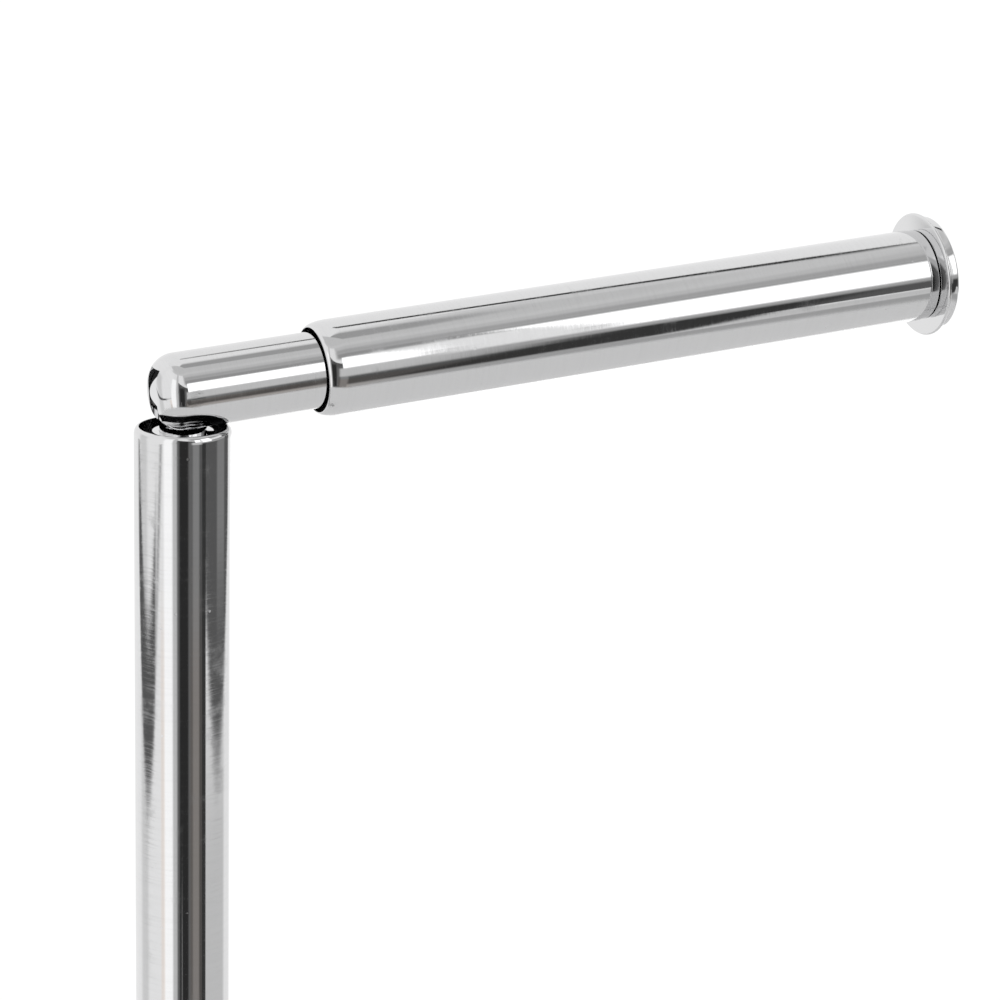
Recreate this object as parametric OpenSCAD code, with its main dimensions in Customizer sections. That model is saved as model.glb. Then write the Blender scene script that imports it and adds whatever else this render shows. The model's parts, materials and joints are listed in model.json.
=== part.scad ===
// Valet stand for toilet rolls. A weighted round base carries a slim post, and a
// roller arm is hinged in the post's open top. In use the arm rests on the post's rim
// and rises a little towards its far end, which keeps the roll on. It swings up in line
// with the post so that spare rolls slide down over it.
// The post stands on +Z, the arm points towards +X, and the floor is z = 0.

/* [Post] */
// Outer diameter of the post tube
post_d = 20; // [18:0.5:30]
// Wall of the post tube
post_wall = 1; // [0.8:0.1:1.6]
// Height of the post's open rim above the floor
rim_h = 560; // [420:5:760]
// Height of the seam between the two post tubes
seam_h = 290; // [150:5:350]
// How far the rim is rolled inwards
rim_in = 0.85; // [0.3:0.05:0.95]
// Height of the rolled rim
rim_len = 1.6; // [0.8:0.1:3]

/* [Base] */
// Diameter of the base cover
base_d = 165; // [130:1:220]
// Height of the cover's flat top
base_h = 18; // [15:0.5:26]
// Height at which the cover's edge turns into its skirt
edge_h = 8; // [7.5:0.5:9.5]
// Radius of the cover's rounded edge
edge_r = 5; // [3:0.5:7]
// Thickness of the cover
cover_t = 1.2; // [0.8:0.1:2]
// Thickness of the rubber foot pad
pad_t = 2; // [1:0.5:3]
// Height of the collar around the foot of the post
collar_h = 11; // [8:0.5:20]
// Thickness of the collar at its foot
collar_t = 7; // [4:0.5:12]

/* [Arm] */
// Outer diameter of the arm tube
arm_d = 16; // [12:0.5:16.5]
// Wall of the arm tube
arm_wall = 1; // [0.8:0.1:1.4]
// Distance from the hinge pin to the flange at the arm's far end
arm_len = 171.7; // [130:0.1:220]
// Rise of the resting arm above level, in degrees
rest_tilt = 4.2; // [0:0.1:6]
// Distance from the hinge pin to the tip of the rounded nose
nose = 6.5; // [6.2:0.1:8]
// Radius of the nose's rounded edge
nose_r = 5.4; // [4:0.1:5.6]
// Spare length of the slot over the nose, past the stem of a raised arm
slot_spare = 0.3; // [0:0.1:1]

/* [Hinge] */
// Diameter of the stem that stands in the post
stem_d = 9.7; // [8.4:0.1:12]
// Thickness of the eye on top of the stem
eye_t = 4; // [3:0.1:5]
// Diameter of the hinge pin
pin_d = 4; // [3:0.1:5]
// Depth of the ring around the stem below the rim
ring_drop = 0.9; // [0.5:0.1:3]
// Wall of the ring around the stem
ring_wall = 1.4; // [1:0.1:2]
// Depth of the stem plug below the rim
plug_drop = 8; // [5:0.5:20]
// Length of the stem plug
plug_len = 20; // [12:1:40]

/* [Roller] */
// Outer diameter of the roller sleeve
roller_d = 20; // [19.5:0.5:28]
// Wall of the roller sleeve
roller_wall = 0.8; // [0.6:0.1:1]
// Distance from the hinge pin to the sleeve's near end
roller_start = 28.5; // [20:0.5:45]
// Length of the curled near end
curl_len = 4.2; // [2:0.2:6]
// Length of the rounded far end
far_len = 1.7; // [1:0.1:4]
// How far the far end is rounded inwards
far_in = 0.35; // [0.2:0.05:0.5]
// Length of each plastic bush in the sleeve
bush_len = 9; // [6:0.5:15]

/* [End flange] */
// Diameter of the thin flange
flange_d = 27; // [25:0.5:36]
// Thickness of the thin flange
flange_t = 0.8; // [0.6:0.1:1.5]
// How far the cap's radius is smaller than the flange's
cap_step = 1; // [0.5:0.1:2]
// Thickness of the end cap
cap_t = 2.4; // [1.5:0.1:5]
// Radius of the cap's rounded edge
cap_r = 0.6; // [0.3:0.1:0.7]

/* [Fasteners] */
// Thread diameter in base and post
bolt_d = 8; // [6:1:8]
// Length of the base bolt below its head
bolt_len = 30; // [25:1:40]
// Length of each threaded insert in the post
insert_len = 22; // [18:1:40]
// Thread diameter in the arm's far end
cap_thread_d = 5; // [4:1:6]

/* [Fits] */
// Gap of a pressed or bonded fit, on the radius
press_gap = 0.03; // [0.01:0.01:0.05]
// Gap of a turning fit, on the radius
run_gap = 0.05; // [0.02:0.01:0.08]
// Gap of a screwed fit drawn without its thread, on the radius
thread_gap = 0.05; // [0.02:0.01:0.1]
// Clearance between parts that swing past each other
swing_gap = 0.3; // [0.2:0.05:0.5]
// Gap between the resting arm and the rim
rest_gap = 0.08; // [0.05:0.01:0.2]

/* [Hidden] */

fine = 96;
post_r = post_d / 2;
post_bore_r = post_r - post_wall;
arm_r = arm_d / 2;
arm_bore_r = arm_r - arm_wall;

// Height of the hinge pin: the tilted arm's underside clears the rim by rest_gap
rim_r = post_r - rim_in;
axis_h = rim_h + (arm_r + rest_gap - rim_r * sin(rest_tilt)) / cos(rest_tilt);

// Base stack, from the floor up
landing_r = post_r + collar_t + 6;
skirt_lift = 1;
weight_r = base_d / 2 - edge_r - 4;
weight_edge_h = edge_h - 0.5;
head_af = 1.6 * bolt_d;
head_h = 0.65 * bolt_d;
washer_t = 2;
recess_r = 0.75 * head_af + 2.5;
recess_h = pad_t + 1 + head_h + washer_t;
bolt_seat = recess_h - washer_t;

// Hinge: the eye turns in the arm's slot, and the stem's shoulder clears the nose
eye_r = min(nose - 0.1, arm_bore_r - swing_gap);
slot_w = eye_t + 2 * swing_gap;
slot_end = stem_d / 2 + swing_gap;
slot_top = slot_end + slot_spare;
corner = [nose_r - nose, arm_r - nose_r];
sweep_r = nose_r + norm(corner) + swing_gap;
fork_end = eye_r + 0.5;
knuckle_end = fork_end + 8;
tail_d = 8;
nut_af = 13;
nut_h = 6.5;

// Roller: the sleeve runs on two bushes, and its lip leaves a gap round the arm
roller_r = roller_d / 2;
roller_bore_r = roller_r - roller_wall;
lip_r = arm_r + 0.85;
lip_land = 0.6;
end_gap = 0.4;
roller_end = arm_len - end_gap;
cap_shank = 14;
end_plug_len = cap_shank + 4;

// Quarter ellipse from a lip at [r_lip, z_lip] out to the full radius at z_full
function curl(r_lip, z_lip, r_full, z_full, steps = 10) =
    [for (i = [0:steps]) let(a = 90 * i / steps)
        [r_lip + (r_full - r_lip) * sin(a), z_full + (z_lip - z_full) * cos(a)]];
function backwards(list) = [for (i = [len(list) - 1:-1:0]) list[i]];

// Height of the cover's outer face: flat in the middle, then a falling parabola
function dome_z(r) = let(t = (r - landing_r) / (base_d / 2 - edge_r - landing_r))
    base_h - (base_h - edge_h - edge_r * sin(72)) * t * t;

module along_x() { rotate([0, 90, 0]) children(); }
module along_y() { rotate([-90, 0, 0]) children(); }
module at_pivot() { translate([0, 0, axis_h]) children(); }
module on_arm() { at_pivot() rotate([0, -rest_tilt, 0]) children(); }

module ring(outer, inner, h) {
    rotate_extrude($fn = fine) translate([inner, 0]) square([outer - inner, h]);
}

module hex(af, h) { cylinder(d = af / cos(30), h = h, $fn = 6); }

// Outline of the cover at one offset: 0 is its outer face, cover_t its inner face
module cover_outline(inset) {
    edge_x = base_d / 2 - edge_r;
    r = edge_r - inset;
    top = [for (i = [0:8]) let(x = landing_r + (edge_x + edge_r * cos(72) - landing_r) * i / 9)
        [x, dome_z(x) - inset]];
    bend = [for (i = [0:6]) let(a = 72 - 12 * i) [edge_x + r * cos(a), edge_h + r * sin(a)]];
    polygon(concat([[0, skirt_lift - inset], [0, base_h - inset]], top, bend,
        [[edge_x + r, skirt_lift - inset]]));
}

// Outline of the arm's solid shape, nose down, with the hinge axis at 0
module nose_outline(r, tip, edge, length) {
    translate([0, edge - tip]) square([r, length - edge + tip]);
    translate([0, -tip]) square([r - edge, edge + 1]);
    intersection() {
        translate([r - edge, edge - tip]) circle(edge, $fn = fine);
        translate([0, -tip]) square([r, edge]);
    }
}

module nose_solid(r, tip, edge, length) {
    along_x() rotate_extrude($fn = fine) nose_outline(r, tip, edge, length);
}

// Disc with a rounded outer edge on its upper face
module rounded_disc(r, h, edge) {
    rotate_extrude($fn = fine) {
        square([r, h - edge]);
        square([r - edge, h]);
        intersection() {
            translate([r - edge, h - edge]) circle(edge, $fn = 48);
            square([r, h]);
        }
    }
}

module foot_pad() {
    color("dimgray") cylinder(r = weight_r - 2, h = pad_t, $fn = fine);
}

module base_weight() {
    color("slategray") difference() {
        rotate_extrude($fn = fine) polygon([
            [0, pad_t], [weight_r, pad_t], [weight_r, weight_edge_h],
            [landing_r, base_h - cover_t], [0, base_h - cover_t]]);
        translate([0, 0, pad_t - 1]) cylinder(r = recess_r, h = recess_h - pad_t + 1, $fn = fine);
        cylinder(d = bolt_d + 0.6, h = base_h, $fn = fine);
    }
}

module base_shell() {
    color("silver") difference() {
        rotate_extrude($fn = fine) cover_outline(0);
        rotate_extrude($fn = fine) cover_outline(cover_t);
        translate([0, 0, base_h / 2]) cylinder(d = bolt_d + 0.6, h = base_h, $fn = fine);
    }
}

module base_collar() {
    foot_r = post_r + collar_t;
    top_r = post_r + 2;
    color("silver") translate([0, 0, base_h]) rotate_extrude($fn = fine) polygon(concat(
        [[post_r + run_gap, 0], [foot_r, 0], [foot_r, 1.5]],
        [for (i = [1:8]) let(a = 90 * i / 8)
            [foot_r - (foot_r - top_r) * sin(a), collar_h - 1 - (collar_h - 2.5) * cos(a)]],
        [[top_r - 0.4, collar_h], [post_r + run_gap, collar_h]]));
}

module base_bolt() {
    color("dimgray") translate([0, 0, bolt_seat]) {
        translate([0, 0, -head_h]) hex(head_af, head_h);
        translate([0, 0, -0.5]) cylinder(d = bolt_d, h = bolt_len + 0.5, $fn = fine);
    }
}

module base_washer() {
    color("gray") translate([0, 0, bolt_seat]) ring(0.9 * bolt_d, bolt_d / 2 + 0.2, washer_t);
}

// Plug with a plain hole in place of its thread
module insert(z, hole_from, hole_to) {
    difference() {
        translate([0, 0, z]) cylinder(r = post_bore_r - press_gap, h = insert_len, $fn = fine);
        translate([0, 0, hole_from])
            cylinder(r = bolt_d / 2 + thread_gap, h = hole_to - hole_from, $fn = fine);
    }
}

module post_foot_insert() {
    color("goldenrod") insert(base_h, base_h - 1, bolt_seat + bolt_len + 2);
}

module lower_tube() {
    color("silver") translate([0, 0, base_h]) ring(post_r, post_bore_r, seam_h - base_h);
}

module lower_joint_insert() {
    color("goldenrod") insert(seam_h - insert_len, seam_h - insert_len + 4, seam_h + 1);
}

module joint_stud() {
    reach = insert_len - 6;
    color("gray") translate([0, 0, seam_h - reach]) cylinder(d = bolt_d, h = 2 * reach, $fn = fine);
}

module upper_joint_insert() {
    color("goldenrod") insert(seam_h, seam_h - 1, seam_h + insert_len - 4);
}

module upper_tube() {
    color("silver") rotate_extrude($fn = fine) polygon(concat(
        [[post_bore_r, seam_h], [post_r, seam_h]],
        backwards(curl(rim_r, rim_h, post_r, rim_h - rim_len)),
        [[post_bore_r, rim_h]]));
}

module stem_plug() {
    color("goldenrod") translate([0, 0, rim_h - plug_drop - plug_len])
        ring(post_bore_r - press_gap, tail_d / 2 + thread_gap, plug_len);
}

module stem_bushing() {
    color("silver") translate([0, 0, rim_h - plug_drop])
        ring(stem_d / 2 + ring_wall, stem_d / 2 + press_gap, plug_drop - ring_drop);
}

module stem_nut() {
    color("gray") translate([0, 0, rim_h - plug_drop - plug_len - nut_h]) difference() {
        hex(nut_af, nut_h);
        translate([0, 0, -1]) cylinder(r = tail_d / 2 + thread_gap, h = nut_h + 2, $fn = fine);
    }
}

module hinge_stem() {
    foot = rim_h - plug_drop;
    tail = plug_len + nut_h + 2;
    color("silver") difference() {
        union() {
            translate([0, 0, foot - tail]) cylinder(d = tail_d, h = tail + 1, $fn = fine);
            difference() {
                translate([0, 0, foot]) cylinder(d = stem_d, h = axis_h - foot, $fn = fine);
                at_pivot() sphere(r = sweep_r, $fn = fine);
                on_arm() along_x() cylinder(r = arm_r + swing_gap, h = stem_d, $fn = fine);
            }
            intersection() {
                translate([0, 0, foot]) cylinder(d = stem_d, h = axis_h - foot, $fn = fine);
                translate([-stem_d, -eye_t / 2, foot]) cube([2 * stem_d, eye_t, axis_h - foot]);
            }
            at_pivot() translate([0, -eye_t / 2, 0]) along_y()
                cylinder(r = eye_r, h = eye_t, $fn = fine);
        }
        at_pivot() translate([0, -eye_t, 0]) along_y()
            cylinder(r = pin_d / 2 + run_gap, h = 2 * eye_t, $fn = fine);
    }
}

module pin_hole() {
    translate([0, -arm_d, 0]) along_y()
        cylinder(r = pin_d / 2 + press_gap, h = 2 * arm_d, $fn = fine);
}

module arm_tube() {
    color("silver") on_arm() difference() {
        nose_solid(arm_r, nose, nose_r, arm_len);
        nose_solid(arm_bore_r, nose - arm_wall, nose_r - arm_wall, arm_len + 1);
        translate([-arm_d, -slot_w / 2, -arm_d]) cube([arm_d + slot_end, slot_w, arm_d + slot_top]);
        pin_hole();
    }
}

module arm_knuckle() {
    wall = arm_wall + press_gap;
    color("gray") on_arm() difference() {
        nose_solid(arm_r - wall, nose - wall, nose_r - wall, knuckle_end);
        translate([-arm_d, -slot_w / 2, -arm_d]) cube([arm_d + fork_end, slot_w, 2 * arm_d]);
        pin_hole();
    }
}

// The pin's ends are ground flush with the round of the arm
module hinge_pin() {
    color("silver") on_arm() intersection() {
        translate([0, -arm_d, 0]) along_y() cylinder(d = pin_d, h = 2 * arm_d, $fn = fine);
        translate([-pin_d, 0, 0]) along_x() cylinder(r = arm_r, h = 2 * pin_d, $fn = fine);
    }
}

module pivot_washers() {
    t = swing_gap - 0.05;
    color("gold") on_arm() for (side = [-1, 1])
        translate([0, side * (eye_t / 2 + swing_gap / 2) - t / 2, 0]) along_y()
            ring(eye_r - 1.7, pin_d / 2 + run_gap, t);
}

module arm_end_plug() {
    color("goldenrod") on_arm() translate([arm_len - end_plug_len, 0, 0]) along_x()
        ring(arm_bore_r - press_gap, cap_thread_d / 2 + thread_gap, end_plug_len);
}

module end_flange() {
    color("silver") on_arm() translate([arm_len, 0, 0]) along_x() difference() {
        rounded_disc(flange_d / 2, flange_t, flange_t / 2);
        translate([0, 0, -1]) cylinder(d = cap_thread_d + 0.4, h = flange_t + 2, $fn = fine);
    }
}

module end_cap() {
    color("silver") on_arm() translate([arm_len + flange_t, 0, 0]) along_x() {
        rounded_disc(flange_d / 2 - cap_step, cap_t, cap_r);
        translate([0, 0, -flange_t - cap_shank])
            cylinder(d = cap_thread_d, h = cap_shank + flange_t + 1, $fn = fine);
    }
}

module roller_washer() {
    color("dimgray") on_arm() translate([roller_end + 0.05, 0, 0]) along_x()
        ring(roller_bore_r - 0.2, arm_r + press_gap, end_gap - 0.1);
}

module roller_tube() {
    length = roller_end - roller_start;
    color("silver") on_arm() translate([roller_start, 0, 0]) along_x()
        rotate_extrude($fn = fine) polygon(concat(
            curl(lip_r, 0, roller_r, curl_len),
            backwards(curl(roller_r - far_in, length, roller_r, length - far_len)),
            [[roller_bore_r, length]],
            backwards(curl(lip_r, lip_land, roller_bore_r, curl_len))));
}

module roller_bush(x) {
    on_arm() translate([x, 0, 0]) along_x()
        ring(roller_bore_r - press_gap, arm_r + run_gap, bush_len);
}

module roller_bush_near() {
    color("white") roller_bush(roller_start + curl_len + 2);
}

module roller_bush_far() {
    color("white") roller_bush(roller_end - bush_len - 0.5);
}

foot_pad();
base_weight();
base_shell();
base_collar();
base_bolt();
base_washer();
post_foot_insert();
lower_tube();
lower_joint_insert();
joint_stud();
upper_joint_insert();
upper_tube();
stem_plug();
stem_bushing();
stem_nut();
hinge_stem();
arm_tube();
arm_knuckle();
hinge_pin();
pivot_washers();
arm_end_plug();
end_flange();
end_cap();
roller_washer();
roller_tube();
roller_bush_near();
roller_bush_far();
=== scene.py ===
"""Looks of a chrome valet stand for toilet rolls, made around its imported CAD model."""

import json
import math

import bmesh
import bpy
import numpy as np
from mathutils import Matrix, Vector


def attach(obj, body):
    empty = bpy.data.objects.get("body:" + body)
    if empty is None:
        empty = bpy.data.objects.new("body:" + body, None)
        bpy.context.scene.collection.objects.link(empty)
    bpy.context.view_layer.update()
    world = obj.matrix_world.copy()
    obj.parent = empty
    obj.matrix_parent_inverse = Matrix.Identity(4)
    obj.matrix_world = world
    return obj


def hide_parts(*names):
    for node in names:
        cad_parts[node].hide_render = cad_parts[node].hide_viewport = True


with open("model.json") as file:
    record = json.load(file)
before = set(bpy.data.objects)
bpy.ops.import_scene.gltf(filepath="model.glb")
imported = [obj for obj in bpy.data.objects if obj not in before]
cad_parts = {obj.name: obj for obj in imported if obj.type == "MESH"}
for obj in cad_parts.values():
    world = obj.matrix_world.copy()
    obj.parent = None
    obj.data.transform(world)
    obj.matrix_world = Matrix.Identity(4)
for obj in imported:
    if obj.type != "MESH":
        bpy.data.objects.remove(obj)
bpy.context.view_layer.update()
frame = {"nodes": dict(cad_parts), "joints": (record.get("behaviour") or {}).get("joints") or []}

MM = 0.001
AROUND = 288  # divisions around a turned piece
SHARP = math.radians(28)  # faces that meet at more than this keep a crisp edge
MERGE = 1e-7  # points nearer than this, in metres, are one point
Z_AXIS = np.array([0.0, 0.0, 1.0])
ORIGIN = np.zeros(3)

joints = {joint["name"]: joint for joint in frame["joints"]}
PIVOT = np.array(joints["arm_fold"]["pos_m"])
ARM_AXIS = np.array(joints["roller_spin"]["axis"])
ARM_AXIS = ARM_AXIS / np.linalg.norm(ARM_AXIS)
ARM_RISE = math.atan2(ARM_AXIS[2], ARM_AXIS[0])


# ---------------------------------------------------------------- measuring the frame


def reach(node, origin, axis):
    """(start, end, outer radius, inner radius) of a CAD node along and around a line."""
    mesh = frame["nodes"][node].data
    points = np.empty(len(mesh.vertices) * 3)
    mesh.vertices.foreach_get("co", points)
    points = points.reshape(-1, 3) - origin
    along = points @ axis
    radius = np.linalg.norm(points - along[:, None] * axis, axis=1)
    return along.min(), along.max(), radius.max(), radius.min()


POST_START, POST_END, POST_R, POST_BORE_R = reach("upper_tube", ORIGIN, Z_AXIS)
LOWER_START, LOWER_END, _, _ = reach("lower_tube", ORIGIN, Z_AXIS)
NOSE, ARM_END, ARM_R, _ = reach("arm_tube", PIVOT, ARM_AXIS)
ROLLER_START, ROLLER_END, ROLLER_R, LIP_R = reach("roller_tube", PIVOT, ARM_AXIS)
FLANGE_START, FLANGE_END, FLANGE_R, _ = reach("end_flange", PIVOT, ARM_AXIS)
_, CAP_END, CAP_R, _ = reach("end_cap", PIVOT, ARM_AXIS)


# ---------------------------------------------------------------- surfaces


def make_mesh(name, points, faces):
    """A mesh object from arrays of points and of quads or triangles, smooth shaded,
    with its edges kept crisp where two faces meet sharply."""
    mesh = bpy.data.meshes.new(name)
    mesh.from_pydata(points.tolist(), [], faces)
    bm = bmesh.new()
    bm.from_mesh(mesh)
    bmesh.ops.remove_doubles(bm, verts=bm.verts, dist=MERGE)
    bmesh.ops.recalc_face_normals(bm, faces=bm.faces)
    bm.to_mesh(mesh)
    bm.free()
    mesh.shade_smooth()
    mesh.set_sharp_from_angle(angle=SHARP)
    piece = bpy.data.objects.new(name, mesh)
    bpy.context.scene.collection.objects.link(piece)
    return piece


def axis_frame(axis):
    """Two unit vectors square to an axis and to each other."""
    side = np.array([0.0, 1.0, 0.0])
    other = np.cross(axis, side)
    return side, other / np.linalg.norm(other)


def turned(name, profile, origin=ORIGIN, axis=Z_AXIS, around=AROUND):
    """A turned piece. The closed profile of (radius, height along the axis) is carried
    around the axis: point(i, t) = origin + axis * h_i + r_i * (side cos t + other sin t)."""
    profile = np.array(profile, float)
    radius, height = profile[:, 0], profile[:, 1]
    turn = np.linspace(0, 2 * math.pi, around, endpoint=False)
    side, other = axis_frame(axis)
    circle = np.cos(turn)[:, None] * side + np.sin(turn)[:, None] * other
    points = origin + height[:, None, None] * axis + radius[:, None, None] * circle
    rings = len(profile)
    ring = np.arange(rings)
    step = np.arange(around)
    a = ring[:, None] * around + step
    b = ring[:, None] * around + (step + 1) % around
    c = ((ring + 1) % rings)[:, None] * around + (step + 1) % around
    d = ((ring + 1) % rings)[:, None] * around + step
    faces = np.stack([a, b, c, d], axis=-1)
    on_axis = (radius < 1e-9) & (np.roll(radius, -1) < 1e-9)
    faces = faces[~on_axis].reshape(-1, 4)
    return make_mesh(name, points.reshape(-1, 3), faces.tolist())


def quarter(start, end, steps=14, out_first=True):
    """Points of a quarter ellipse between two corners of (radius, height). It leaves the
    start along the radius if out_first is true, or along the axis if not."""
    t = np.linspace(0, math.pi / 2, steps + 1)
    fast, slow = np.sin(t), 1 - np.cos(t)
    u, v = (fast, slow) if out_first else (slow, fast)
    return [
        (start[0] + (end[0] - start[0]) * p, start[1] + (end[1] - start[1]) * q)
        for p, q in zip(u, v)
    ]


def cut(piece, cutters):
    """Takes the closed cutter meshes out of the piece, and removes them."""
    for cutter in cutters:
        modifier = piece.modifiers.new("cut", "BOOLEAN")
        modifier.operation = "DIFFERENCE"
        modifier.solver = "EXACT"
        modifier.object = cutter
    bpy.context.view_layer.update()
    graph = bpy.context.evaluated_depsgraph_get()
    shaped = bpy.data.meshes.new_from_object(piece.evaluated_get(graph))
    piece.modifiers.clear()
    piece.data = shaped
    shaped.shade_smooth()
    shaped.set_sharp_from_angle(angle=SHARP)
    for cutter in cutters:
        bpy.data.objects.remove(cutter)


def block(low, high, place=Matrix.Identity(4)):
    """A closed box between two corners, as a cutter."""
    corners = np.array([[x, y, z] for x in (0, 1) for y in (0, 1) for z in (0, 1)], float)
    points = np.array(low) + corners * (np.array(high) - np.array(low))
    points = np.array([place @ Vector(p) for p in points])
    faces = [(0, 1, 3, 2), (4, 6, 7, 5), (0, 4, 5, 1), (2, 3, 7, 6), (0, 2, 6, 4), (1, 5, 7, 3)]
    return make_mesh("cutter", points, faces)


def arm_place():
    """The arm's own frame: origin at the hinge pin, X along the arm."""
    return Matrix.Translation(Vector(PIVOT)) @ Matrix.Rotation(-ARM_RISE, 4, "Y")


# ---------------------------------------------------------------- materials


class Nodes:
    """A node tree with short calls for making and joining its nodes."""

    def __init__(self, tree):
        self.tree = tree
        tree.nodes.clear()

    def add(self, kind, inputs=(), **settings):
        """A new node with its settings, and its inputs set or joined."""
        node = self.tree.nodes.new(kind)
        for key, value in settings.items():
            setattr(node, key, value)
        for socket, value in dict(inputs).items():
            self.put(node.inputs[socket], value)
        return node

    def put(self, socket, value):
        """Joins an output to an input socket, or sets the socket to a plain value."""
        if isinstance(value, bpy.types.NodeSocket):
            self.tree.links.new(value, socket)
        else:
            socket.default_value = value

    def math(self, operation, a, b=0.0, c=0.0):
        """The result of a math node."""
        return self.add("ShaderNodeMath", {0: a, 1: b, 2: c}, operation=operation).outputs[0]

    def span(self, value, low, high, to_low=0.0, to_high=1.0):
        """The value mapped from low..high to to_low..to_high with eased ends."""
        return self.add(
            "ShaderNodeMapRange",
            {"Value": value, 1: low, 2: high, 3: to_low, 4: to_high},
            interpolation_type="SMOOTHSTEP",
        ).outputs[0]

    def noise(self, vector, scale, detail=2.0, roughness=0.5):
        """Noise between 0 and 1 with scale cells per metre."""
        return self.add(
            "ShaderNodeTexNoise",
            {"Vector": vector, "Scale": scale, "Detail": detail, "Roughness": roughness},
        ).outputs[0]

    def bump(self, height, strength, distance, normal=None):
        """A normal bent by a height, on top of another normal if there is one."""
        inputs = {"Height": height, "Strength": strength, "Distance": distance}
        if normal is not None:
            inputs["Normal"] = normal
        return self.add("ShaderNodeBump", inputs).outputs[0]


def new_material(name):
    """A material with a principled shader: (material, its nodes, the shader)."""
    material = bpy.data.materials.new(name)
    material.use_nodes = True
    nodes = Nodes(material.node_tree)
    shader = nodes.add("ShaderNodeBsdfPrincipled")
    output = nodes.add("ShaderNodeOutputMaterial")
    nodes.put(output.inputs["Surface"], shader.outputs[0])
    return material, nodes, shader


CHROME = (0.73, 0.73, 0.735, 1.0)
CHROME_WORN = (0.44, 0.435, 0.43, 1.0)
# Cells of noise per metre
FINE_LINES, COARSE_LINES, SMEARS, SWELLS, PITS = 3600.0, 1000.0, 160.0, 42.0, 420.0
# Heights of the surface
SWELL_H, COARSE_H, FINE_H, PIT_DEPTH = 0.35 * MM, 0.0034 * MM, 0.0018 * MM, 0.02 * MM
# Shares of the noise in roughness and colour
LINE_ROUGH, SMEAR_ROUGH, PIT_ROUGH, STAIN = 0.10, 1.5, 0.25, 0.07
PIT_SHARE = (0.925, 0.935)
PIT_BUMP = 0.35


def chrome(name, turn=(0.0, 0.0, 0.0), grain=(0.03, 0.03, 1.0), haze=0.09, hairline=0.6, wave=0.1):
    """Polished chrome plate. Hairlines are noise drawn out by grain, in coordinates turned
    to the piece's axis: slow where grain is small, quick where it is 1. They bend the
    surface, dull the gloss and darken the plate a little. Pits are rare small cells."""
    material, nodes, shader = new_material(name)
    place = nodes.add("ShaderNodeTexCoord").outputs["Object"]
    own = nodes.add("ShaderNodeMapping", {"Vector": place, "Rotation": turn}).outputs[0]
    brushed = nodes.add("ShaderNodeMapping", {"Vector": own, "Scale": grain}).outputs[0]
    fine = nodes.noise(brushed, FINE_LINES, 2.0, 0.7)
    coarse = nodes.noise(brushed, COARSE_LINES, 2.0, 0.5)
    swell = nodes.noise(own, SWELLS, 1.0, 0.4)
    smear = nodes.noise(own, SMEARS, 4.0, 0.65)
    cells = nodes.add("ShaderNodeTexVoronoi", {"Vector": own, "Scale": PITS})
    chance = nodes.add("ShaderNodeSeparateColor", {0: cells.outputs["Color"]}).outputs[0]
    pit = nodes.span(cells.outputs["Distance"], 0.06, 0.16, 1.0, 0.0)
    pit = nodes.math("MULTIPLY", pit, nodes.span(chance, *PIT_SHARE))
    line = nodes.math("MULTIPLY", nodes.span(fine, 0.47, 0.68), hairline)
    patch = nodes.math("MULTIPLY", nodes.span(smear, 0.50, 0.72), hairline)
    rough = nodes.math("MULTIPLY_ADD", line, LINE_ROUGH, haze * 0.5)
    rough = nodes.math("ADD", rough, nodes.math("MULTIPLY", patch, haze * SMEAR_ROUGH))
    rough = nodes.math("ADD", rough, nodes.math("MULTIPLY", pit, PIT_ROUGH))
    stain = nodes.math("MULTIPLY", nodes.span(coarse, 0.42, 0.72), hairline)
    stain = nodes.math("MULTIPLY", nodes.math("ADD", stain, line), STAIN)
    tint = nodes.add(
        "ShaderNodeMix", {"Factor": stain, "A": CHROME, "B": CHROME_WORN}, data_type="RGBA"
    )
    normal = nodes.bump(swell, wave, SWELL_H)
    normal = nodes.bump(coarse, hairline, COARSE_H, normal)
    normal = nodes.bump(fine, hairline, FINE_H, normal)
    normal = nodes.bump(pit, PIT_BUMP, -PIT_DEPTH, normal)
    nodes.put(shader.inputs["Base Color"], tint.outputs["Result"])
    shader.inputs["Metallic"].default_value = 1.0
    nodes.put(shader.inputs["Roughness"], rough)
    nodes.put(shader.inputs["Normal"], normal)
    return material


def plain_metal(name, color, rough, grain=400.0, depth=0.02):
    """Turned or plated metal with a fine grain in its colour, gloss and surface."""
    material, nodes, shader = new_material(name)
    place = nodes.add("ShaderNodeTexCoord").outputs["Object"]
    speck = nodes.noise(place, grain, 4.0, 0.6)
    darker = tuple(0.72 * c for c in color[:3]) + (1.0,)
    tint = nodes.add("ShaderNodeMix", {"Factor": speck, "A": darker, "B": color}, data_type="RGBA")
    nodes.put(shader.inputs["Base Color"], tint.outputs["Result"])
    shader.inputs["Metallic"].default_value = 1.0
    nodes.put(shader.inputs["Roughness"], nodes.span(speck, 0.2, 0.8, rough * 0.8, rough * 1.3))
    nodes.put(shader.inputs["Normal"], nodes.bump(speck, 0.3, depth * MM))
    return material


def cast_iron():
    """Painted iron casting: a pebbled dark skin."""
    material, nodes, shader = new_material("cast iron")
    place = nodes.add("ShaderNodeTexCoord").outputs["Object"]
    skin = nodes.noise(place, 900.0, 5.0, 0.65)
    patch = nodes.noise(place, 45.0, 2.0, 0.5)
    tint = nodes.add(
        "ShaderNodeMix",
        {"Factor": patch, "A": (0.035, 0.036, 0.04, 1), "B": (0.075, 0.075, 0.08, 1)},
        data_type="RGBA",
    )
    nodes.put(shader.inputs["Base Color"], tint.outputs["Result"])
    nodes.put(shader.inputs["Roughness"], nodes.span(skin, 0.3, 0.7, 0.5, 0.75))
    nodes.put(shader.inputs["Normal"], nodes.bump(skin, 0.6, 0.25 * MM))
    return material


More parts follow.
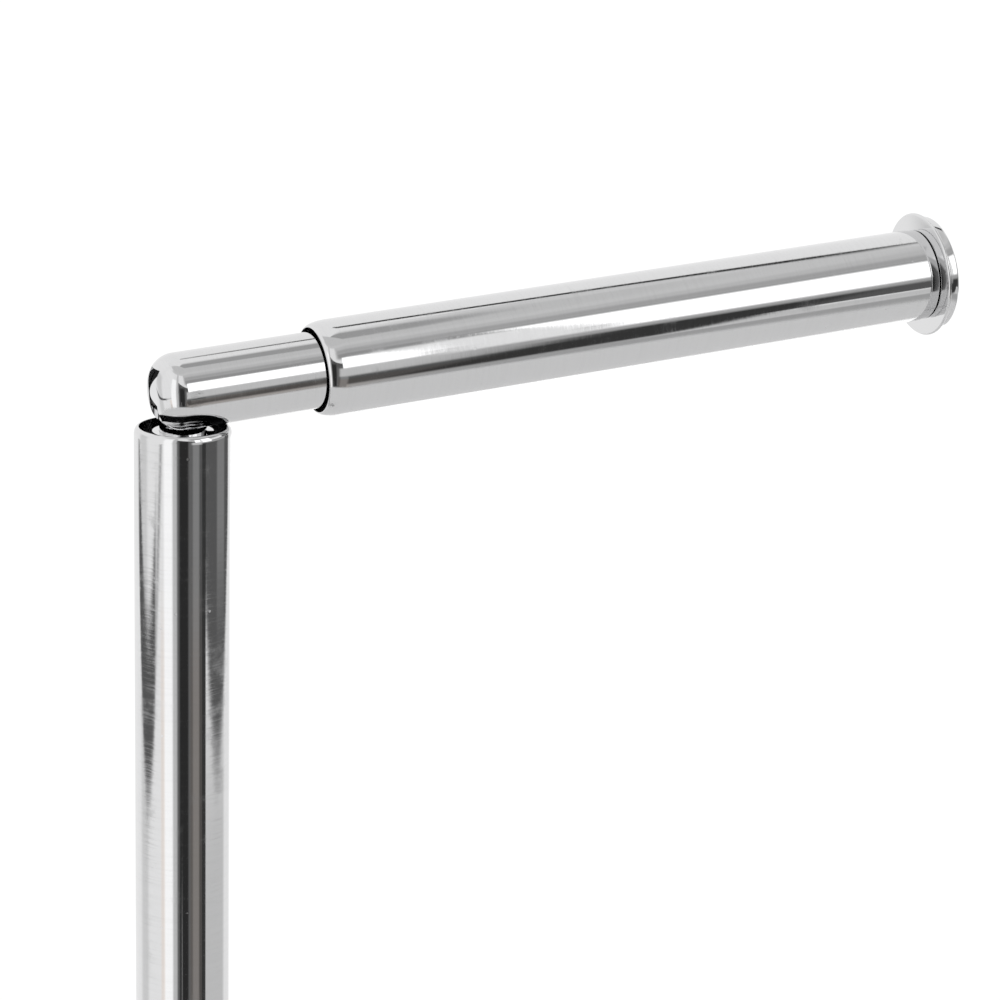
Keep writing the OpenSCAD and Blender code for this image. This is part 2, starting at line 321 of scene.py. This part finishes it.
def soft_black(name, color, rough, scale):
    """Moulded rubber or plastic with a fine matt texture."""
    material, nodes, shader = new_material(name)
    place = nodes.add("ShaderNodeTexCoord").outputs["Object"]
    grain = nodes.noise(place, scale, 3.0, 0.6)
    lighter = tuple(1.6 * c for c in color[:3]) + (1.0,)
    tint = nodes.add("ShaderNodeMix", {"Factor": grain, "A": color, "B": lighter}, data_type="RGBA")
    nodes.put(shader.inputs["Base Color"], tint.outputs["Result"])
    nodes.put(shader.inputs["Roughness"], nodes.span(grain, 0.3, 0.7, rough, rough + 0.12))
    nodes.put(shader.inputs["Normal"], nodes.bump(grain, 0.4, 0.05 * MM))
    return material


# The hairlines run around the post's axis, Z, and around the arm's axis.
ARM_TURN = (0.0, ARM_RISE, 0.0)
ROUND_ARM = (1.0, 0.03, 0.03)
post_chrome = chrome("chrome post")
arm_chrome = chrome("chrome arm", turn=ARM_TURN, grain=ROUND_ARM)
ring_chrome = chrome("chrome end ring", turn=ARM_TURN, grain=ROUND_ARM, haze=0.08)
stem_chrome = chrome("chrome stem", haze=0.03, wave=0.0, hairline=0.04)
disc_chrome = chrome("chrome discs", turn=ARM_TURN, grain=(1.0, 0.3, 0.3), hairline=0.06)
base_chrome = chrome("chrome base", grain=(0.3, 0.3, 1.0), hairline=0.05)
zinc = plain_metal("zinc plate", (0.62, 0.63, 0.65, 1), 0.32)
black_steel = plain_metal("blackened steel", (0.03, 0.03, 0.032, 1), 0.5)
brass = plain_metal("turned brass", (0.72, 0.56, 0.30, 1), 0.28)
iron = cast_iron()
rubber = soft_black("pad rubber", (0.018, 0.018, 0.019, 1), 0.7, 1400.0)
plastic = soft_black("bush plastic", (0.012, 0.012, 0.013, 1), 0.55, 1800.0)


def finish_piece(piece, material, body, slot, *nodes):
    """Gives a new piece its material and its body, and hides the CAD nodes it stands for. Its slot
    is not used.
    """
    piece.data.materials.clear()
    piece.data.materials.append(material)
    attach(piece, body)
    if nodes:
        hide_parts(*nodes)


# ---------------------------------------------------------------- post and base

RIM_IN = 0.85 * MM
RIM_LEN = 1.6 * MM
SEAM_BEVEL = 0.12 * MM


def post_tubes():
    """Two plain tubes with a fine bevel at their seam; the upper one has a rolled rim."""
    bore = POST_BORE_R
    upper = [(bore, POST_START), (POST_R - SEAM_BEVEL, POST_START)]
    upper += [(POST_R, POST_START + SEAM_BEVEL), (POST_R, POST_END - RIM_LEN)]
    upper += quarter((POST_R, POST_END - RIM_LEN), (POST_R - RIM_IN, POST_END), 16, False)[1:]
    upper += [(bore, POST_END)]
    finish_piece(turned("post_upper", upper), post_chrome, "stand", "chrome", "upper_tube")
    lower = [(bore, LOWER_START), (POST_R, LOWER_START), (POST_R, LOWER_END - SEAM_BEVEL)]
    lower += [(POST_R - SEAM_BEVEL, LOWER_END), (bore, LOWER_END)]
    finish_piece(turned("post_lower", lower), post_chrome, "stand", "chrome", "lower_tube")


post_tubes()

COVER_LANDING = 23.0 * MM
COVER_EDGE_H = 8.0 * MM
COVER_EDGE_R = 5.0 * MM
COVER_T = 1.2 * MM
COVER_BEND = math.radians(72)


def base_cover():
    """The base's cover: a flat landing, a falling parabola z = top - drop * t^2, a round
    edge of 72 degrees and a skirt. Its inner face lies one thickness below."""
    start, top, outer, hole = reach("base_shell", ORIGIN, Z_AXIS)
    edge_x = outer - COVER_EDGE_R
    drop = top - COVER_EDGE_H - COVER_EDGE_R * math.sin(COVER_BEND)
    dome_end = edge_x + COVER_EDGE_R * math.cos(COVER_BEND)
    faces = []
    for inset in (0.0, COVER_T):
        radius = COVER_EDGE_R - inset
        face = [(hole, top - inset)]
        for x in np.linspace(COVER_LANDING, dome_end, 60)[:-1]:
            t = (x - COVER_LANDING) / (edge_x - COVER_LANDING)
            face.append((x, top - drop * t * t - inset))
        for a in np.linspace(COVER_BEND, 0, 16):
            face.append((edge_x + radius * math.cos(a), COVER_EDGE_H + radius * math.sin(a)))
        face.append((edge_x + radius, start))
        faces.append(face)
    piece = turned("base_cover", faces[0] + faces[1][::-1])
    finish_piece(piece, base_chrome, "stand", "chrome", "base_shell")


base_cover()

COLLAR_LIP = 2.0 * MM  # how far the lip stands out from the post
COLLAR_FOOT_H = 1.5 * MM
COLLAR_LIP_H = 1.0 * MM
COLLAR_BEVEL = 0.4 * MM


def base_ring():
    """The collar: a cylinder at its foot, then a hollow quarter ellipse up to its lip."""
    start, end, outer, inner = reach("base_collar", ORIGIN, Z_AXIS)
    lip = POST_R + COLLAR_LIP
    foot = start + COLLAR_FOOT_H
    outline = [(inner, start), (outer, start)]
    outline += quarter((outer, foot), (lip, end - COLLAR_LIP_H), 24)
    outline += [(lip - COLLAR_BEVEL, end), (inner, end)]
    piece = turned("base_ring", outline)
    finish_piece(piece, base_chrome, "stand", "chrome", "base_collar")


base_ring()


# ---------------------------------------------------------------- arm

NOSE_R = 5.4 * MM
ARM_WALL = 1.0 * MM
SLOT_W = 4.6 * MM
SLOT_END = 5.15 * MM
SLOT_TOP = 5.45 * MM


def arm_tube():
    """A tube with a rounded nose, slotted from beneath up over the nose for the eye."""
    inner = ARM_R - ARM_WALL
    outline = [(0.0, NOSE), (ARM_R - NOSE_R, NOSE)]
    outline += quarter(outline[-1], (ARM_R, NOSE + NOSE_R), 24)[1:]
    outline += [(ARM_R, ARM_END), (inner, ARM_END)]
    bend = quarter((ARM_R - NOSE_R, NOSE + ARM_WALL), (inner, NOSE + NOSE_R), 16)
    outline += bend[::-1] + [(0.0, NOSE + ARM_WALL)]
    piece = turned("arm_tube_shell", outline, PIVOT, ARM_AXIS)
    big = 4 * ARM_R
    low = (-big, -SLOT_W / 2, -big)
    cut(piece, [block(low, (SLOT_END, SLOT_W / 2, SLOT_TOP), arm_place())])
    finish_piece(piece, arm_chrome, "arm", "chrome", "arm_tube")


arm_tube()

CURL_LEN = 4.2 * MM
FAR_LEN = 1.7 * MM  # the end ring starts this far before the CAD sleeve's end
FAR_IN = 0.175 * MM  # depth of the end ring below the sleeve's surface
FAR_GAP = 0.22 * MM  # gap between the end ring and the flange
SLEEVE_WALL = 0.8 * MM
LIP_LAND = 0.6 * MM
EDGE = 0.15 * MM


def sleeve():
    """The roller's sleeve, curled in at its near end, and the narrow ring at its far end."""
    a, b = ROLLER_START, ROLLER_END
    inner = ROLLER_R - SLEEVE_WALL
    outline = quarter((LIP_R, a), (ROLLER_R, a + CURL_LEN), 24)
    outline += quarter((ROLLER_R, b - FAR_LEN - EDGE), (ROLLER_R - EDGE, b - FAR_LEN), 6, False)
    outline += [(inner, b - FAR_LEN)]
    outline += quarter((LIP_R, a + LIP_LAND), (inner, a + CURL_LEN), 12)[::-1]
    piece = turned("roller_sleeve", outline, PIVOT, ARM_AXIS)
    finish_piece(piece, arm_chrome, "roller", "chrome", "roller_tube")
    rim = ROLLER_R - FAR_IN
    end = FLANGE_START - FAR_GAP
    outline = [(inner, b - FAR_LEN), (rim, b - FAR_LEN)]
    outline += quarter((rim, end - EDGE), (rim - EDGE, end), 6, False)
    outline += [(inner, end)]
    piece = turned("roller_end_ring", outline, PIVOT, ARM_AXIS)
    finish_piece(piece, ring_chrome, "roller", "chrome")


sleeve()

CAP_EDGE = 0.6 * MM
CAP_BEVEL = 0.25 * MM
SHANK_R = 2.5 * MM
SHANK_LEN = 14.0 * MM
HOLE_R = 2.7 * MM


def flange_and_cap():
    """The thin flange with a round edge, and the thicker cap with its screwed shank."""
    half = (FLANGE_END - FLANGE_START) / 2
    outline = [(HOLE_R, FLANGE_START)]
    outline += quarter((FLANGE_R - half, FLANGE_START), (FLANGE_R, FLANGE_START + half), 8)
    outline += quarter((FLANGE_R, FLANGE_START + half), (FLANGE_R - half, FLANGE_END), 8, False)[1:]
    outline += [(HOLE_R, FLANGE_END)]
    piece = turned("flange_disc", outline, PIVOT, ARM_AXIS)
    finish_piece(piece, disc_chrome, "arm", "chrome", "end_flange")
    outline = [(0.0, FLANGE_END - SHANK_LEN), (SHANK_R, FLANGE_END - SHANK_LEN)]
    outline += [(SHANK_R, FLANGE_END)]
    outline += quarter((CAP_R - CAP_BEVEL, FLANGE_END), (CAP_R, FLANGE_END + CAP_BEVEL), 6)
    outline += quarter((CAP_R, CAP_END - CAP_EDGE), (CAP_R - CAP_EDGE, CAP_END), 10, False)
    outline += [(0.0, CAP_END)]
    piece = turned("cap_disc", outline, PIVOT, ARM_AXIS)
    finish_piece(piece, disc_chrome, "arm", "chrome", "end_cap")


flange_and_cap()

RUN_GAP = 0.05 * MM
BUSH_BEVEL = 0.3 * MM


def roller_bushes():
    """The two plastic bushes inside the sleeve's ends, running on the arm tube."""
    for node in ("roller_bush_near", "roller_bush_far"):
        start, end, outer, _ = reach(node, PIVOT, ARM_AXIS)
        inner = ARM_R + RUN_GAP
        outline = [(inner + BUSH_BEVEL, start), (outer - BUSH_BEVEL, start)]
        outline += [(outer, start + BUSH_BEVEL), (outer, end - BUSH_BEVEL)]
        outline += [(outer - BUSH_BEVEL, end), (inner + BUSH_BEVEL, end)]
        outline += [(inner, end - BUSH_BEVEL), (inner, start + BUSH_BEVEL)]
        piece = turned(node + "_turned", outline, PIVOT, ARM_AXIS)
        finish_piece(piece, plastic, "roller", "bush_plastic", node)


roller_bushes()

# ---------------------------------------------------------------- carried-over CAD nodes

CARRIED = {
    "foot_pad": rubber,
    "base_weight": iron,
    "base_bolt": zinc,
    "base_washer": zinc,
    "post_foot_insert": brass,
    "lower_joint_insert": brass,
    "joint_stud": zinc,
    "upper_joint_insert": brass,
    "stem_plug": black_steel,
    "stem_bushing": stem_chrome,
    "stem_nut": zinc,
    "hinge_stem": stem_chrome,
    "arm_knuckle": zinc,
    "hinge_pin": stem_chrome,
    "pivot_washers": brass,
    "arm_end_plug": brass,
    "roller_washer": plastic,
}
for node, material in CARRIED.items():
    piece = frame["nodes"][node]
    piece.data.materials.clear()
    piece.data.materials.append(material)

# ---------------------------------------------------------------- studio

CAMERA_PLACE = Vector((-0.2543, -0.7095, POST_END + 0.1899))
CAMERA_HEADING = 24.65  # degrees from +Y towards +X
CAMERA_PITCH = 15.20  # degrees below level
CAMERA_ROLL = 1.25  # degrees
CAMERA_LENS = 137.1  # mm on a 36 mm frame


def camera():
    """The camera, turned by its heading, tipped by its pitch, then rolled."""
    data = bpy.data.cameras.new("camera")
    data.lens = CAMERA_LENS
    data.sensor_width = 36.0
    data.clip_start = 0.01
    data.clip_end = 50.0
    place = bpy.data.objects.new("camera", data)
    turn = Matrix.Rotation(math.radians(-CAMERA_HEADING), 4, "Z")
    tip = Matrix.Rotation(math.radians(90 - CAMERA_PITCH), 4, "X")
    roll = Matrix.Rotation(math.radians(CAMERA_ROLL), 4, "Z")
    place.matrix_world = Matrix.Translation(CAMERA_PLACE) @ turn @ tip @ roll
    bpy.context.scene.collection.objects.link(place)
    bpy.context.scene.camera = place


camera()

# What the chrome mirrors: a pale surround with panels. Each panel has azimuth from and to,
# elevation from and to, softness of its azimuth and elevation edges, all in degrees, and
# its brightness. Azimuth 0 is the side that the camera stands on, and grows to its right.
# A later panel covers an earlier. Two more numbers bow a panel: its elevations rise by the
# second times the square of the azimuth's distance from the first. With PANELS and
# WARM_STRIPS both empty, the light is an even white.
BACKDROP = 0.97
PANELS = [
    # pale left side with two dark bowed strips, and a bright patch low at the far side
    (-142, -96, -95, 55, 7, 5, 1.00),
    (-113, -86, -95, 20, 8, 5, 0.78),
    (-86, -40, -95, 55, 8, 5, 1.00),
    (-122, -62, -19.0, -16.1, 6, 0.5, 0.11, -88, 0.0030),
    (-62, -40, -18.6, -17.2, 6, 0.7, 0.42, -88, 0.0030),
    (148, 182, -62, -12, 7, 4, 1.30),
    # grey lower half, lighter further down
    (-44, 142, -95, -27, 10, 3, 0.43),
    (-44, 142, -95, -38, 10, 5, 0.55),
    (-44, 142, -95, -50, 10, 6, 0.64),
    (112, 150, -95, -26, 9, 5, 0.86),
    (56, 118, -27, -18, 6, 2, 0.66),
    # bright panel at the left, and a grey strip beside it
    (-41, -20, -95, 40, 4, 3, 1.25),
    (-19, -9, -95, 60, 2.5, 3, 0.64),
    # dark side behind the camera, with lighter and darker strips in it
    (-9.5, 136, -18.4, 12, 2.5, 0.7, 0.115, 95, 0.0021),
    (92, 118, -15.8, -3, 4, 1.2, 0.25),
    (-9.5, 42, -95, 12, 2.5, 3, 0.15),
    (40, 56, -28, 12, 2.5, 3, 0.15),
    (-3.5, 17.5, -95, 20, 2.5, 4, 0.03),
    (1.2, 3.2, -95, -20.2, 0.8, 0.7, 0.22),
    (28, 43, -95, -4, 2.5, 3, 0.27),
    (44.5, 50, -27, -12, 1.5, 4, 0.10),
    (50.2, 60, -27, -2.0, 1.2, 3, 0.045),
    # above the horizon: grey panels, lighter higher up, and two bright ones
    (26, 49.5, -9.5, 9, 4, 3, 0.66),
    (49.5, 118, -1.5, 9, 1.5, 3, 0.46),
    (22, 118, 30, 45, 8, 5, 0.36),
    (22, 118, 42.5, 59, 8, 3, 0.46),
    (22, 118, 51, 62, 8, 3, 0.62),
    (-60, 150, 58, 66, 10, 2, 0.70),
    (-95, 150, 64, 95, 9, 2, 0.66),
    (34, 46.8, 9, 32.5, 1.2, 2.5, 1.75),
    (47.2, 51.6, 5.5, 34.5, 0.8, 3, 0.98),
    (52.0, 76, 6, 38.5, 0.8, 3, 1.75),
    # dark strip high up at the far side, and grey panels above it
    (136, 180, 55.4, 60.0, 9, 0.8, 0.04),
    (134, 158, 60, 67, 4, 2, 0.74),
    (84, 140, 70.4, 95, 5, 1.5, 0.41),
]
# Warm strips below the horizon: azimuths between which each fades in, then out
WARM_STRIPS = [(-52, -47, -42, -38), (19, 24, 46, 56)]
WARM_TOP = (-17, -15)  # elevations between which they fade out
WARM = (1.0, 0.93, 0.88, 1.0)
SEEN_WHITE = 1.05  # what the camera sees directly


def studio():
    """The pale surround with its soft-edged panels, as the chrome mirrors it. What the
    camera sees directly stays plain white."""
    world = bpy.data.worlds.new("studio")
    bpy.context.scene.world = world
    world.use_nodes = True
    nodes = Nodes(world.node_tree)
    ray = nodes.add("ShaderNodeTexCoord").outputs["Generated"]
    heading = math.radians(CAMERA_HEADING)
    towards = (-math.sin(heading), -math.cos(heading), 0.0)
    right = (math.cos(heading), -math.sin(heading), 0.0)
    parts = [
        nodes.add("ShaderNodeVectorMath", {0: ray, 1: v}, operation="DOT_PRODUCT").outputs["Value"]
        for v in (towards, right, (0.0, 0.0, 1.0))
    ]
    degrees = 180 / math.pi
    azimuth = nodes.math("MULTIPLY", nodes.math("ARCTAN2", parts[1], parts[0]), degrees)
    elevation = nodes.math("MULTIPLY", nodes.math("ARCSINE", parts[2]), degrees)
    light = BACKDROP
    for az_low, az_high, el_low, el_high, az_soft, el_soft, level, *bow in PANELS:
        middle, rise = bow or (0.0, 0.0)
        off = nodes.math("SUBTRACT", azimuth, middle)
        bent = nodes.math("MULTIPLY", nodes.math("MULTIPLY", off, off), rise)
        height = nodes.math("SUBTRACT", elevation, bent) if bow else elevation
        mask = nodes.span(azimuth, az_low - az_soft, az_low + az_soft)
        sides = (
            nodes.span(azimuth, az_high - az_soft, az_high + az_soft, 1.0, 0.0),
            nodes.span(height, el_low - el_soft, el_low + el_soft),
            nodes.span(height, el_high - el_soft, el_high + el_soft, 1.0, 0.0),
        )
        for side in sides:
            mask = nodes.math("MULTIPLY", mask, side)
        light = nodes.add("ShaderNodeMix", {0: mask, 2: light, 3: level}).outputs[0]
    seen = nodes.add("ShaderNodeLightPath").outputs["Is Camera Ray"]
    light = nodes.add("ShaderNodeMix", {0: seen, 2: light, 3: SEEN_WHITE}).outputs[0]
    warm = 0.0
    for rise_from, rise_to, fall_from, fall_to in WARM_STRIPS:
        warm = nodes.math("ADD", warm, nodes.span(azimuth, rise_from, rise_to))
        warm = nodes.math("SUBTRACT", warm, nodes.span(azimuth, fall_from, fall_to))
    warm = nodes.math("MULTIPLY", warm, nodes.span(elevation, *WARM_TOP, 1.0, 0.0))
    warm = nodes.math("MULTIPLY", warm, nodes.math("SUBTRACT", 1.0, seen))
    tint = nodes.add(
        "ShaderNodeMix", {"Factor": warm, "A": (1, 1, 1, 1), "B": WARM}, data_type="RGBA"
    )
    back = nodes.add(
        "ShaderNodeBackground", {"Color": tint.outputs["Result"], "Strength": light}
    )
    output = nodes.add("ShaderNodeOutputWorld")
    nodes.put(output.inputs["Surface"], back.outputs[0])


studio()

FLOOR_R = 0.9
FLOOR_FADE = 0.72  # radius from which the floor fades out
FLOOR_SIDES = 96


def floor():
    """A plain pale disc under the stand, faded out towards its edge."""
    turn = np.linspace(0, 2 * math.pi, FLOOR_SIDES, endpoint=False)
    points = np.stack([FLOOR_R * np.cos(turn), FLOOR_R * np.sin(turn), 0 * turn], axis=1)
    piece = make_mesh("floor", points, [list(range(FLOOR_SIDES))])
    material, nodes, shader = new_material("pale floor")
    shader.inputs["Base Color"].default_value = (0.86, 0.86, 0.86, 1)
    shader.inputs["Roughness"].default_value = 0.7
    place = nodes.add("ShaderNodeTexCoord").outputs["Object"]
    away = nodes.add("ShaderNodeVectorMath", {0: place}, operation="LENGTH").outputs["Value"]
    nodes.put(shader.inputs["Alpha"], nodes.span(away, FLOOR_FADE, FLOOR_R, 1.0, 0.0))
    piece.data.materials.append(material)


floor()
bpy.context.scene.view_settings.view_transform = "Standard"
bpy.context.scene.view_settings.look = "None"
